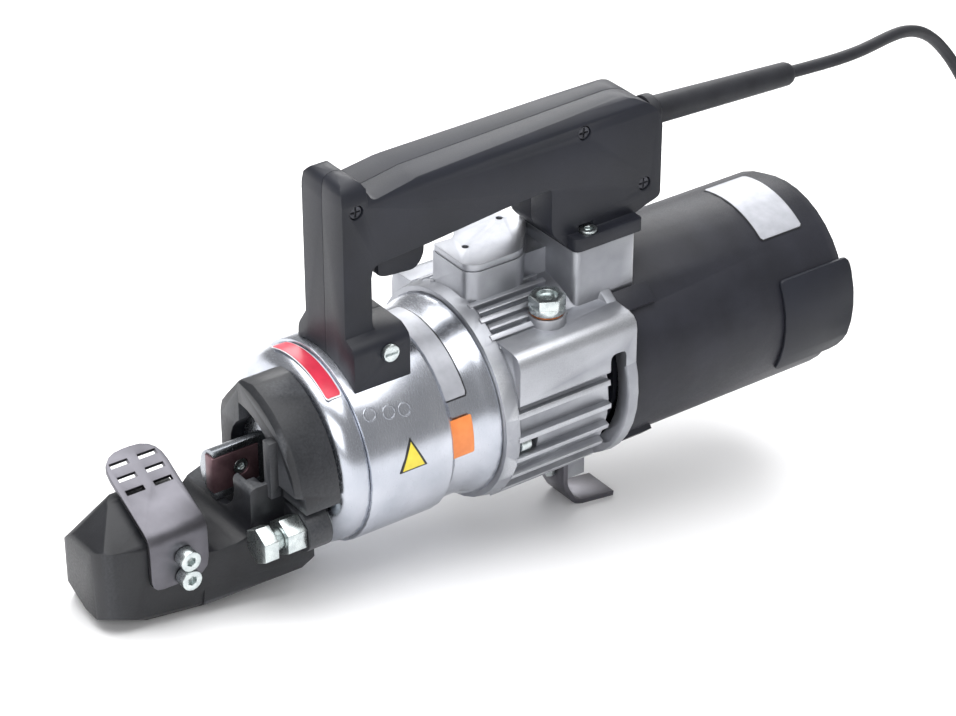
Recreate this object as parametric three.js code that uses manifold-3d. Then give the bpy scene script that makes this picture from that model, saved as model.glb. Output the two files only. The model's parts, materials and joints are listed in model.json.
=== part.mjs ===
// Portable electro-hydraulic rebar cutter, built as an assembly of separate sub-parts.
// Units are millimetres. Each tool part is drawn in the tool frame: x runs along the cylinder axis from
// the cutter head towards the motor, y towards the far side, z up, and the axis itself is y = z = 0.
// The tool frame is then tipped nose down, so that the nose and the foot bracket stand on the floor at z = 0.
import * as THREE from 'three';
import { mergeVertices } from 'three/addons/utils/BufferGeometryUtils.js';
import Module from 'manifold-3d';

const wasm = await Module();
wasm.setup();

// ---- driving dimensions ----
const GAP = 0.3;                       // air between neighbouring parts
const PITCH = THREE.MathUtils.degToRad(8);
const STAND_OFFSET = [248.126, 0, 122.772];   // moves the tipped tool so its box is centred over the origin
const FACETS = 36;                     // sides of a large round part
const FEW_FACETS = 16;                 // sides of a small round part

const NOSE_X = -501;                   // tip of the cutter head
const THROAT_FRONT = -442;             // throat wall under the fixed blade
const THROAT_REAR = -411;
const THROAT_FLOOR = -22;
const HEAD_HALF_WIDTH = 33;
const HEAD_BOTTOM = -62;
const COLLAR_FRONT = -395;
const COLLAR_REAR = -368.7;
const COLLAR_R = 56;
const ROD_R = 24;
const BARREL_FRONT = -349.9;
const BARREL_REAR = -263.9;
const BARREL_R = 59;
const BORE_R = 46.5;
const HOUSING_FRONT = -263.3;
const HOUSING_REAR = -173;
const HOUSING_R = 61;
const FIN_R = 65;
const CAVITY_R = 56;
const MOTOR_FRONT = -172.6;
const MOTOR_REAR = -8;
const MOTOR_R = 61;
const HANDLE_Y = -8.7;                 // middle plane of the handle
const GRIP_HALF = 19.5;
const FOOT_HALF = 27.8;                // half width of the handle's feet
const BLOCK_TOP = 83.9;                // seat of the handle's rear foot
const STOP_Y = -47;
const STOP_Z = -18;
const GEAR_Z = -30;                    // height of the eccentric shaft
const GEAR_MODULE = 1.25;
const PINION_TEETH = 10;
const GEAR_TEETH = 38;
const CORD_R = 3.75;
const COIL_CENTRE = [415, -95];
const COIL_INNER = 30;
const COIL_OUTER = 52.5;
const COIL_TOP = 22.5;

// ---- finishes ----
const blackIron = { color: 0x2b2c2f, roughness: 0.55, metalness: 0.3 };
const platedSteel = { color: 0xc9ccd2, roughness: 0.28, metalness: 0.9 };
const zincSteel = { color: 0xbfc6c8, roughness: 0.35, metalness: 0.9 };
const brushedSteel = { color: 0x97979c, roughness: 0.4, metalness: 0.9 };
const toolSteel = { color: 0x6d565a, roughness: 0.4, metalness: 0.8 };
const castAluminium = { color: 0xb4b6bc, roughness: 0.5, metalness: 0.7 };
const groundSteel = { color: 0xa9adb3, roughness: 0.25, metalness: 1 };
const blackPlastic = { color: 0x303238, roughness: 0.6, metalness: 0 };
const blackRubber = { color: 0x1c1d20, roughness: 0.8, metalness: 0 };
const copper = { color: 0xa8643a, roughness: 0.4, metalness: 0.9 };

// Height of the floor under a point of the tool axis, as seen in the tool frame.
function floorZ(x) {
  return -(STAND_OFFSET[2] + x * Math.sin(PITCH)) / Math.cos(PITCH);
}

const tool = new THREE.Group();
tool.rotation.y = -PITCH;
tool.position.set(...STAND_OFFSET);
const floorItems = new THREE.Group();

// ---- solids from three.js geometries ----
function solid(geometry) {
  const bare = geometry.index ? geometry.toNonIndexed() : geometry.clone();
  bare.deleteAttribute('normal');
  bare.deleteAttribute('uv');
  const merged = mergeVertices(bare, 1e-3);
  const points = merged.attributes.position.array;
  const index = merged.index.array;
  const corners = [];
  let volume = 0;
  for (let i = 0; i < index.length; i += 3) {
    const [a, b, c] = [index[i], index[i + 1], index[i + 2]];
    if (a === b || b === c || c === a) continue;
    corners.push(a, b, c);
    const [p, q, r] = [a, b, c].map((k) => new THREE.Vector3().fromArray(points, 3 * k));
    volume += p.dot(q.cross(r));
  }
  if (volume < 0) corners.reverse();
  const mesh = new wasm.Mesh({
    numProp: 3,
    vertProperties: new Float32Array(points),
    triVerts: new Uint32Array(corners),
  });
  return new wasm.Manifold(mesh);
}

function join(first, ...others) {
  return others.reduce((sum, next) => sum.add(next), first);
}

function cut(first, ...others) {
  return others.reduce((rest, next) => rest.subtract(next), first);
}

// An outline from corners [a, b, trim]: each corner is cut back by its trim along both edges and
// rounded between.
function outline(corners) {
  const shape = new THREE.Shape();
  corners.forEach(([a, b, trim = 0], i) => {
    const corner = new THREE.Vector2(a, b);
    const before = new THREE.Vector2(...corners.at(i - 1).slice(0, 2)).sub(corner).setLength(trim);
    const next = corners[(i + 1) % corners.length];
    const after = new THREE.Vector2(next[0], next[1]).sub(corner).setLength(trim);
    const entry = corner.clone().add(before);
    if (i === 0) shape.moveTo(entry.x, entry.y);
    else shape.lineTo(entry.x, entry.y);
    if (trim > 0) shape.quadraticCurveTo(corner.x, corner.y, corner.x + after.x, corner.y + after.y);
  });
  return shape;
}

function slabZ(corners, low, high, steps = 3) {
  const settings = { depth: high - low, bevelEnabled: false, curveSegments: steps };
  return solid(new THREE.ExtrudeGeometry(outline(corners), settings).translate(0, 0, low));
}

function slabX(corners, low, high, steps = 3) {
  const settings = { depth: high - low, bevelEnabled: false, curveSegments: steps };
  const turn = new THREE.Matrix4().set(0, 0, 1, low, 1, 0, 0, 0, 0, 1, 0, 0, 0, 0, 0, 1);
  return solid(new THREE.ExtrudeGeometry(outline(corners), settings).applyMatrix4(turn));
}

function slabY(corners, low, high, steps = 3) {
  const settings = { depth: high - low, bevelEnabled: false, curveSegments: steps };
  const turn = new THREE.Matrix4().set(1, 0, 0, 0, 0, 0, -1, high, 0, 1, 0, 0, 0, 0, 0, 1);
  return solid(new THREE.ExtrudeGeometry(outline(corners), settings).applyMatrix4(turn));
}

function box(x0, x1, y0, y1, z0, z1) {
  const geometry = new THREE.BoxGeometry(x1 - x0, y1 - y0, z1 - z0);
  return solid(geometry.translate((x0 + x1) / 2, (y0 + y1) / 2, (z0 + z1) / 2));
}

function rodX(x0, x1, r, y = 0, z = 0, sides = FEW_FACETS) {
  const geometry = new THREE.CylinderGeometry(r, r, x1 - x0, sides).rotateZ(Math.PI / 2);
  return solid(geometry.translate((x0 + x1) / 2, y, z));
}

function rodY(y0, y1, r, x, z, sides = FEW_FACETS) {
  return solid(new THREE.CylinderGeometry(r, r, y1 - y0, sides).translate(x, (y0 + y1) / 2, z));
}

function rodZ(z0, z1, r, x, y, sides = FEW_FACETS) {
  const geometry = new THREE.CylinderGeometry(r, r, z1 - z0, sides).rotateX(Math.PI / 2);
  return solid(geometry.translate(x, y, (z0 + z1) / 2));
}

// A turned part about the tool axis from points [x, radius]; the profile closes on itself.
function turned(profile, sides = FACETS) {
  const points = [...profile, profile[0]].map(([x, r]) => new THREE.Vector2(r, x));
  return solid(new THREE.LatheGeometry(points, sides).rotateZ(-Math.PI / 2));
}

function ringX(x0, x1, inner, outer, y = 0, z = 0, sides = FEW_FACETS) {
  return cut(rodX(x0, x1, outer, y, z, sides), rodX(x0 - 1, x1 + 1, inner, y, z, sides));
}

function addPart(name, shape, finish, parent = tool) {
  const { vertProperties, triVerts } = shape.getMesh();
  const geometry = new THREE.BufferGeometry();
  geometry.setAttribute('position', new THREE.BufferAttribute(vertProperties, 3));
  geometry.setIndex(new THREE.BufferAttribute(triVerts, 1));
  geometry.computeVertexNormals();
  const mesh = new THREE.Mesh(geometry, new THREE.MeshStandardMaterial(finish));
  mesh.name = name;
  parent.add(mesh);
}

// ---- cutter head ----
// The far front corner of the nose is bevelled by one slanting plane, and this is the waste above it.
function farNoseBevel() {
  const planeZ = (x, y) => -2.2 + 0.656 * (x + 503) - 0.6125 * (y + 3);
  const corners = [[-505, -10], [-460, -10], [-460, 45], [-505, 45]];
  return wasm.Manifold.hull(corners.flatMap(([x, y]) => [[x, y, planeZ(x, y)], [x, y, 60]]));
}

function headCasting() {
  const side = slabY([
    [NOSE_X, -3, 3], [-480, 12, 2], [THROAT_FRONT, 12, 1], [THROAT_FRONT, THROAT_FLOOR, 10],
    [THROAT_REAR, THROAT_FLOOR, 10], [THROAT_REAR, 8, 4], [-372, 8], [-372, -50], [-384, -58],
    [-409, HEAD_BOTTOM, 6], [-441, floorZ(-441)], [-480, floorZ(-480)], [-494, -53.5, 3], [NOSE_X, -47, 3],
  ], -40, 40);
  const nose = slabX([
    [-HEAD_HALF_WIDTH, -70], [HEAD_HALF_WIDTH, -70], [HEAD_HALF_WIDTH, -22, 3], [3, 12, 2], [-3, 12, 3],
    [-HEAD_HALF_WIDTH, -3.4, 3],
  ], NOSE_X - 1, THROAT_FRONT);
  const roundedUnderside = slabX([
    [-HEAD_HALF_WIDTH, 0, 19], [HEAD_HALF_WIDTH, 0, 15], [HEAD_HALF_WIDTH, 120], [-HEAD_HALF_WIDTH, 120],
  ], -280, -170).translate(STAND_OFFSET.map((v) => -v)).rotate([0, 8, 0]);
  const spine = slabX([
    [-HEAD_HALF_WIDTH, HEAD_BOTTOM, 11], [HEAD_HALF_WIDTH, HEAD_BOTTOM, 11], [HEAD_HALF_WIDTH, 9],
    [-HEAD_HALF_WIDTH, 9],
  ], THROAT_FRONT, -371);
  const plan = slabZ([
    [NOSE_X, -20, 4], [-497, -29.5, 4], [-474, -HEAD_HALF_WIDTH], [-370, -HEAD_HALF_WIDTH],
    [-370, HEAD_HALF_WIDTH], [-470, HEAD_HALF_WIDTH], [-485, 26, 4], [NOSE_X, 12, 4],
  ], -70, 20);
  const blunt = cut(join(nose.intersect(roundedUnderside), spine), farNoseBevel());
  const frame = side.intersect(blunt).intersect(plan);
  const collar = turned([
    [COLLAR_REAR, ROD_R - 1], [COLLAR_REAR, COLLAR_R], [-392, COLLAR_R], [COLLAR_FRONT, 53],
    [COLLAR_FRONT, ROD_R - 1],
  ]).intersect(slabX([
    [-60, -60], [34, -60], [34, 17, 3], [31.6, 24], [24.5, 32.5, 3], [11, 47.5, 3], [0, 54.5], [-60, 60],
  ], -396, -368));
  const farFront = box(-396, -388, 2, 60, -60, 60);
  const nearUnderside = box(-396, -368, -60, -HEAD_HALF_WIDTH, -60, -4);
  const farWall = slabY([[-412, -17], [-402, -13.5], [-388, -9], [-388, 60], [-412, 60]], 14, 40);
  const nearWall = box(-400, -394, -36.5, -30, 0, 34.5);
  const lug = join(
    rodX(-390.2, -376, 12.3, STOP_Y, STOP_Z, 20),
    box(-390.2, -376, STOP_Y + 2, -30, STOP_Z - 12, STOP_Z + 12),
  );
  const ramPocket = rodX(-402, -379, 40, 0, 0, FACETS).intersect(box(-402, -379, -30, 14, THROAT_FLOOR, 40));
  const stopRelief = box(-412, -390.2, -70, -HEAD_HALF_WIDTH, -70, 7);
  const bladeSeat = box(-452.3, THROAT_FRONT + 1, -13.3, 0.9, -13.3, 7.3);
  const body = join(cut(collar, farFront, stopRelief, nearUnderside), nearWall, cut(frame, farWall), lug);
  return cut(
    body, ramPocket, rodX(-407, -360, ROD_R + GAP, 0, 0, 24), rodX(-412, -405, 16.2, 0, 0, 24), bladeSeat,
    rodX(-471, -450, 3.3, -6.5, -3, 12), rodX(-392, -366, 6.3, STOP_Y, STOP_Z),
    rodY(-34, -17, 3.3, -455, -14, 12), rodY(-34, -17, 3.3, -455, -26.2, 12),
  );
}

function fixedBlade() {
  const blade = box(-452, -438.5, -13, -0.3, -13, 7);
  return cut(blade, rodX(-453, -438, 3.3, -6.5, -3, 12), rodX(-444.8, -438, 5.3, -6.5, -3, 16));
}

function fixedBladeScrew() {
  const screw = join(rodX(-470, -444, 3, -6.5, -3, 12), rodX(-444.5, -439.2, 5, -6.5, -3, 16));
  return cut(screw, rodX(-441.5, -438, 2.5, -6.5, -3, 6));
}

function bladeHolderRam() {
  const rod = rodX(-380, -306.3, ROD_R, 0, 0, 24);
  const tongue = rodX(-413, -379, 15.7, 0, 0, 24).intersect(box(-414, -379, 0.7, 20, -20, 20));
  const seat = box(-414, -384.7, 0, 8.3, -11.3, 11.3);
  return cut(join(rod, tongue), seat, rodY(7, 13, 2.3, -396, 0, 12));
}

function movingBlade() {
  const blade = box(-414, -385, 0.3, 8, -11, 11);
  return cut(blade, rodY(0, 9, 2.8, -396, 0, 12), rodY(0, 4, 5, -396, 0, 16));
}

function movingBladeScrew() {
  const screw = join(rodY(0.8, 3.6, 4.6, -396, 0, 16), rodY(3, 12.5, 2, -396, 0, 12));
  return cut(screw, rodY(0, 2.6, 2.2, -396, 0, 6));
}

function guardPlate() {
  const thickness = 3;
  const rise = THREE.MathUtils.degToRad(27);
  const length = 58;
  const [bendY, bendZ] = [-36.3, 1.5];
  const along = [Math.cos(rise), Math.sin(rise)];
  const across = [Math.sin(rise), -Math.cos(rise)];
  const tip = [bendY + length * along[0], bendZ + length * along[1]];
  const sheet = slabX([
    [bendY, -30.5], [bendY + thickness, -30.5], [bendY + thickness, bendZ - 1.6, 1],
    [tip[0] + thickness * across[0], tip[1] + thickness * across[1]], tip, [bendY, bendZ, 6],
  ], -475, -440);
  const place = new THREE.Matrix4().makeRotationX(rise).setPosition(0, bendY, bendZ);
  const inPlate = (corners, reach = 10) => {
    const settings = { depth: 2 * reach, bevelEnabled: false, curveSegments: 5 };
    const block = new THREE.ExtrudeGeometry(outline(corners), settings).translate(0, 0, -reach);
    return solid(block.applyMatrix4(place));
  };
  const far = inPlate([[-475, -60], [-440, -60], [-440, length, 15], [-475, length, 15]], 70);
  const legCorners = slabY([[-475, -30.5, 7], [-440, -30.5, 10], [-440, 60], [-475, 60]], -60, 60);
  const slots = [];
  for (const row of [32, 41, 50]) {
    for (const column of [-466, -449]) {
      slots.push(inPlate([
        [column - 5.5, row - 1.6], [column + 5.5, row - 1.6], [column + 5.5, row + 1.6],
        [column - 5.5, row + 1.6],
      ]));
    }
  }
  const holes = [-14, -26.2].map((z) => rodY(-40, -30, 3.3, -455, z, 12));
  return cut(sheet.intersect(far).intersect(legCorners), ...slots, ...holes);
}

function socketScrewY(x, z, seat, length, shankR, headR, headLength) {
  const shank = rodY(seat - 0.5, seat + length, shankR, x, z, 12);
  const head = rodY(seat - headLength, seat, headR, x, z);
  return cut(join(shank, head), rodY(seat - headLength - 1, seat - headLength / 2, headR * 0.48, x, z, 6));
}

function stopperBolt() {
  const head = rodX(-417, -408.5, 10.9, STOP_Y, STOP_Z, 6);
  return join(head, rodX(-409, -372.5, 6, STOP_Y, STOP_Z));
}

function stopperNut() {
  return cut(rodX(-402.5, -390.6, 10.9, STOP_Y, STOP_Z, 6), rodX(-404, -389, 6.3, STOP_Y, STOP_Z));
}

// ---- hydraulic cylinder ----
function frontRing() {
  return turned([
    [-368.1, ROD_R + GAP], [-368.1, 46], [-366.5, 51], [-363, 54.5], [-358, 56.6], [-350.2, 57.3],
    [-350.2, 46.1],
    [-344, 46.1],
    [-344, ROD_R + GAP], [-355, ROD_R + GAP], [-355, 28.3], [-360.6, 28.3], [-360.6, ROD_R + GAP],
  ]);
}

function cylinderBarrel() {
  return turned([
    [BARREL_FRONT, BORE_R], [BARREL_FRONT, BARREL_R], [-297, BARREL_R], [-293, 55.6], [-277, 55.6],
    [-271, 58], [BARREL_REAR, 60], [BARREL_REAR, BORE_R],
  ]);
}

function piston() {
  return turned([
    [-306, 0], [-306, 46], [-300.3, 46], [-300.3, 42], [-295.7, 42], [-295.7, 46], [-290, 46], [-290, 0],
  ], FACETS);
}

// The spring is drawn at the length it has between gland and piston when the ram is fully out.
function returnSpring() {
  const turns = 1.9;
  const [wire, coilR, start, pitch] = [2, 33, -341.4, 4.9];
  const path = new THREE.Curve();
  path.getPoint = (t) => {
    const angle = 2 * Math.PI * turns * t;
    const along = start + pitch * turns * t * 0.75;
    return new THREE.Vector3(along, coilR * Math.cos(angle), coilR * Math.sin(angle));
  };
  const settings = { steps: 36, extrudePath: path, bevelEnabled: false, curveSegments: 2 };
  const wireSection = new THREE.Shape().absarc(0, 0, wire * 0.88, 0, 2 * Math.PI);
  return solid(new THREE.ExtrudeGeometry(wireSection, settings));
}

// ---- pump ----
function pumpBlock() {
  const disc = rodX(-263.5, -246, 46.1, 0, 0, 40);
  const tower = box(-247, -228, -14, 14, -12, 34);
  return cut(
    join(disc, tower), rodZ(-13, 14, 5.3, -236, 0, 16), rodX(-254, -245, 5.8, 0, GEAR_Z),
    rodX(-264, -262, 3, 0, 20, 12), rodX(-263, -240, 2, 0, 20, 12),
  );
}

function plunger() {
  return join(rodZ(-17.4, 8, 5, -236, 0, 16), rodZ(-17.4, -13.5, 6.2, -236, 0, 16));
}

// Spur gear with straight-sided teeth: pitch radius = module * teeth / 2, and a play of GAP at each flank.
function gear(teeth, x0, x1, boreR, phase) {
  const pitchR = GEAR_MODULE * teeth / 2;
  const tipR = pitchR + 0.85 * GEAR_MODULE;
  const rootR = pitchR - 1.2 * GEAR_MODULE;
  const step = 2 * Math.PI / teeth;
  const half = (r, part) => (part * step * pitchR - GAP) / r;
  const shape = new THREE.Shape();
  for (let i = 0; i < teeth; i += 1) {
    const middle = i * step + phase;
    const tooth = [
      [rootR, -half(rootR, 0.33)], [tipR, -half(tipR, 0.15)], [tipR, half(tipR, 0.15)],
      [rootR, half(rootR, 0.33)],
    ];
    for (const [r, offset] of tooth) {
      const point = [r * Math.cos(middle + offset), r * Math.sin(middle + offset)];
      if (i === 0 && shape.curves.length === 0 && offset < 0 && r === rootR) shape.moveTo(...point);
      else shape.lineTo(...point);
    }
  }
  if (boreR > 0) shape.holes.push(new THREE.Path().absarc(0, 0, boreR, 0, 2 * Math.PI, true));
  const turn = new THREE.Matrix4().set(0, 0, 1, x0, 1, 0, 0, 0, 0, 1, 0, 0, 0, 0, 0, 1);
  const settings = { depth: x1 - x0, bevelEnabled: false, curveSegments: 10 };
  return solid(new THREE.ExtrudeGeometry(shape, settings).applyMatrix4(turn));
}

const CENTRE_DISTANCE = GEAR_MODULE * (PINION_TEETH + GEAR_TEETH) / 2;   // equals the drop of GEAR_Z

function drivenGear() {
  return gear(GEAR_TEETH, -216, -206, 0, Math.PI / 2).translate([0, 0, -CENTRE_DISTANCE]);
}

function eccentricShaft() {
  const shaft = join(rodX(-253.6, -220, 5.4, 0, GEAR_Z), rodX(-222, -193, 6, 0, GEAR_Z));
  return join(shaft, drivenGear(), rodX(-240, -232, 9, 0, GEAR_Z + 3));
}

function armatureShaft() {
  const pinion = gear(PINION_TEETH, -217, -205, 0, 0);
  return join(pinion, rodX(-205.5, -190, 6), rodX(-190.5, -30, 6));
}

function ballBearing(x0, x1, inner, outer, z = 0) {
  const race = ringX(x0, x1, inner, outer, 0, z);
  const middle = (inner + outer) / 2;
  const frontGroove = ringX(x0 - 1, x0 + 0.8, middle - 1, middle + 1, 0, z);
  const rearGroove = ringX(x1 - 0.8, x1 + 1, middle - 1, middle + 1, 0, z);
  return cut(race, frontGroove, rearGroove);
}

function fins(from, to, step, x0, x1) {
  const list = [];
  for (let angle = from; angle <= to; angle += step) {
    const turn = THREE.MathUtils.degToRad(angle);
    for (const side of [1, -1]) {
      const fin = new THREE.BoxGeometry(x1 - x0, 3.2, 8).translate((x0 + x1) / 2, 0, FIN_R - 4);
      list.push(solid(fin.rotateX(side * turn)));
    }
  }
  return list;
}

function pumpHousing() {
  const shell = turned([
    [HOUSING_FRONT, 46.5], [HOUSING_FRONT, 63], [-255, 64.5], [-252, HOUSING_R], [-181, HOUSING_R],
    [-179, 65],
    [HOUSING_REAR, 65.5], [HOUSING_REAR, CAVITY_R], [-243, CAVITY_R], [-243, 46.5],
  ]);
  const web = ringX(-202, -190, 12, CAVITY_R + 1, 0, 0, FACETS);
  const shoulders = [-1, 1].map((side) => slabX([
    [side * 40, 17], [side * 62.5, 17, 2], [side * 62.5, 48, 8], [side * 28, 50], [side * 28, 40],
  ], -254, HOUSING_REAR));
  const padCorners = [
    [-256, -12, 3], [-250, -17, 3], [-219, -17, 6], [-195, 12, 6], [-204, 34, 6], [-230, 32, 4],
    [-243, 18, 2],
    [-256, 19, 2],
  ];
  const pedestal = slabZ(padCorners, 48, 80.7);
  const handlePad = [[-197, -36, 4], [-155, -36, 2], [-155, 18.6, 2], [-197, 18.6, 4]];
  const handleBlock = slabZ(handlePad, 46, BLOCK_TOP);
  const bridge = box(-222, -190, -8, 12, 48, 76);
  const fillerBoss = rodZ(44, 55, 11, -218, -38);
  const bracketPad = box(-187, HOUSING_REAR, -17, 1, -80, -58);
  const outside = join(
    shell, web, ...shoulders, pedestal, handleBlock, bridge, fillerBoss, bracketPad,
    ...fins(16, 37, 10.5, -257, -205), ...fins(79, 157, 13, -256, -192),
  );
  const vents = [-1, 1].map((side) => slabY([[-191, -43, 4], [-180, -43, 4], [-180, 29, 4], [-191, 29, 4]],
    side > 0 ? 40 : -90, side > 0 ? 90 : -40));
  const webWindows = [[-50, -22], [22, 50]].map(([y0, y1]) => box(-203, -189, y0, y1, -22, 22));
  return cut(
    outside, rodX(-264, -243, 46.5, 0, 0, 40), rodX(-243.5, -201, CAVITY_R, 0, 0, FACETS),
    rodX(-190.5, -172, CAVITY_R, 0, 0, FACETS), rodX(HOUSING_REAR - 0.2, -150, MOTOR_R + 0.7, 0, 0, FACETS),
    rodX(-203, -191, 14.3), rodX(-203, -191, 9.3, 0, GEAR_Z), rodZ(46, 60, 6.4, -218, -38, 16),
    rodX(-196, -180, 2.9, -8, -75, 12), rodZ(55, 70, 11.6, -218, -38, 16), ...vents, ...webWindows,
    rodZ(70, 90, 2.3, -184, -30, 12), rodZ(70, 90, 2.3, -184, 12.6, 12),
    rodZ(70, 82, 1.8, -243, 5, 10), rodZ(70, 82, 1.8, -208, 21, 10),
    ...flangeScrewSpots().map(([y, z]) => rodX(-262, -250, 2.9, y, z, 12)),
    ...flangeScrewSpots().map(([y, z]) => rodX(-253.2, -240, 6.2, y, z, 16)),
  );
}

function flangeScrewSpots() {
  const spots = [];
  for (let i = 0; i < 4; i += 1) {
    const angle = THREE.MathUtils.degToRad(8 + 90 * i);
    spots.push([-59 * Math.sin(angle), 59 * Math.cos(angle)]);
  }
  return spots;
}

function flangeScrew(y, z) {
  const screw = join(rodX(-261, -253, 2.5, y, z, 12), rodX(-253, -246.5, 5.2, y, z, 16));
  return cut(screw, rodX(-249, -245, 2.4, y, z, 6));
}

function topCover() {
  const plate = slabZ([
    [-255.5, -11.8, 3], [-249.8, -16.5, 3], [-219.2, -16.5, 6], [-195.6, 12, 6], [-204.3, 33.5, 6],
    [-229.8, 31.5, 4],
    [-242.8, 17.5, 2], [-255.5, 18.5, 2],
  ], 81, 85);
  return cut(plate, rodZ(80, 86, 2, -243, 5, 12), rodZ(80, 86, 2, -208, 21, 12));
}

function oilFillerPlug() {
  const stem = rodZ(48, 57, 6, -218, -38, 16);
  const plug = join(stem, rodZ(56.6, 60, 10.4, -218, -38), rodZ(59, 66, 10.6, -218, -38, 6));
  return cut(plug, rodZ(63.5, 67, 6, -218, -38, 16));
}

function footBracket() {
  const strip = slabY([
    [-190.4, -63], [-190.4, -83, 4], [-183, -97, 4], [-176, floorZ(-176)], [-153, floorZ(-153)],
    [-152.6, -99.5],
    [-176.5, -96.2, 2], [-181, -94.5, 3], [-187.3, -82.5, 3], [-187.3, -63],
  ], -20, 4);
  const crown = rodX(-191, -187, 65.4, 0, 0, FACETS);
  return cut(strip, crown, rodX(-195, -186, 2.9, -8, -75, 12));
}

function bracketScrew() {
  return join(rodX(-191.5, -181, 2.5, -8, -75, 12), rodX(-194, -190.7, 5, -8, -75, 6));
}

// ---- motor ----
function motorHousing() {
  const shell = turned([
    [MOTOR_FRONT, 57.5], [MOTOR_FRONT, MOTOR_R], [-19, MOTOR_R], [-11, 57], [MOTOR_REAR, 50], [MOTOR_REAR, 0],
    [-12, 0], [-12, 48], [-17, 57.5],
  ]);
  const bosses = [42, 138, 222, 318].map((angle) => {
    const boss = new THREE.BoxGeometry(25, 13, 8).translate(-160, 0, 59.6);
    return solid(boss.rotateX(THREE.MathUtils.degToRad(angle)));
  });
  const vents = [];
  for (let angle = 0; angle < 180; angle += 30) {
    const slot = new THREE.BoxGeometry(10, 3, 34).translate(-10, 0, 27);
    vents.push(solid(slot.clone().rotateX(THREE.MathUtils.degToRad(angle))));
    vents.push(solid(slot.rotateX(THREE.MathUtils.degToRad(angle + 180))));
  }
  const hollow = rodX(-173, -30, 57.5, 0, 0, FACETS);
  return cut(join(shell, ...bosses), hollow, box(-175, -164, -62, 62, 61.5, 70), ...vents);
}

function brushCover(side) {
  const skin = ringX(-61, -5, MOTOR_R + GAP, MOTOR_R + 1.9, 0, 0, FACETS);
  const window = slabY([[-61, -31, 4], [-8.5, -31, 10], [-8.5, 29.5, 4], [-61, 29.5, 3]],
    side > 0 ? 30 : -70, side > 0 ? 70 : -30);
  return skin.intersect(window);
}

function commutator() {
  const drum = ringX(-78, -60, 6.3, 14, 0, 0, 24);
  const grooves = [];
  for (let i = 0; i < 12; i += 1) {
    const groove = new THREE.BoxGeometry(20, 0.8, 2).translate(-69, 0, 14);
    grooves.push(solid(groove.rotateX(i * Math.PI / 6 + 0.1)));
  }
  return cut(drum, ...grooves);
}

function coolingFan() {
  const hub = join(ringX(-188, -176, 6.3, 12), ringX(-178.5, -176, 10, 50, 0, 0, 32));
  const blades = [];
  for (let i = 0; i < 9; i += 1) {
    const blade = new THREE.BoxGeometry(9.5, 2, 34).translate(-183, 0, 31).rotateX(i * 2 * Math.PI / 9);
    blades.push(solid(blade));
  }
  return join(hub, ...blades);
}

function armatureCore() {
  const core = ringX(-150, -95, 6.3, 24, 0, 0, 24);
  const slots = [];
  for (let i = 0; i < 12; i += 1) {
    slots.push(solid(new THREE.BoxGeometry(60, 2.4, 8).translate(-122, 0, 22).rotateX(i * Math.PI / 6)));
  }
  return cut(core, ...slots);
}

function statorCore() {
  const core = ringX(-152, -93, 25, 56.9, 0, 0, 32);
  return cut(core, box(-160, -90, -60, 60, 44, 60), box(-160, -90, -60, 60, -60, -44));
}

function bearingBridge() {
  const bar = rodX(-46, -32, 56.9, 0, 0, 32).intersect(box(-47, -31, -60, 60, -17, 17));
  return cut(bar, rodX(-47, -33, 13.3), rodX(-50, -30, 7.5));
}

function brushHolder(side) {
  const y0 = side > 0 ? 17 : -49;
  const y1 = side > 0 ? 49 : -17;
  const brush = box(-73, -65, side > 0 ? 14.4 : -32, side > 0 ? 32 : -14.4, -3, 3);
  return join(box(-77, -61, y0, y1, -7, 7), brush);
}

// ---- handle ----
const HANDLE_OUTLINE = [
  [-345, 36], [-345, 156, 4], [-344, 167, 6], [-331, 167, 6], [-326, 153.5, 4], [-296, 158.5], [-151, 163, 9],
  [-136, 154, 6], [-131.5, 144, 3], [-131.5, 97, 3], [-142, 94, 4], [-150, 91, 2], [-150, 84.2],
  [-197, 84.2, 3],
  [-208, 96, 5], [-208, 124.5, 3], [-240, 122.5], [-290, 117.5, 3], [-327.5, 115, 7], [-327.5, 76, 6],
  [-309, 63, 3], [-309, 36],
];

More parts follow.
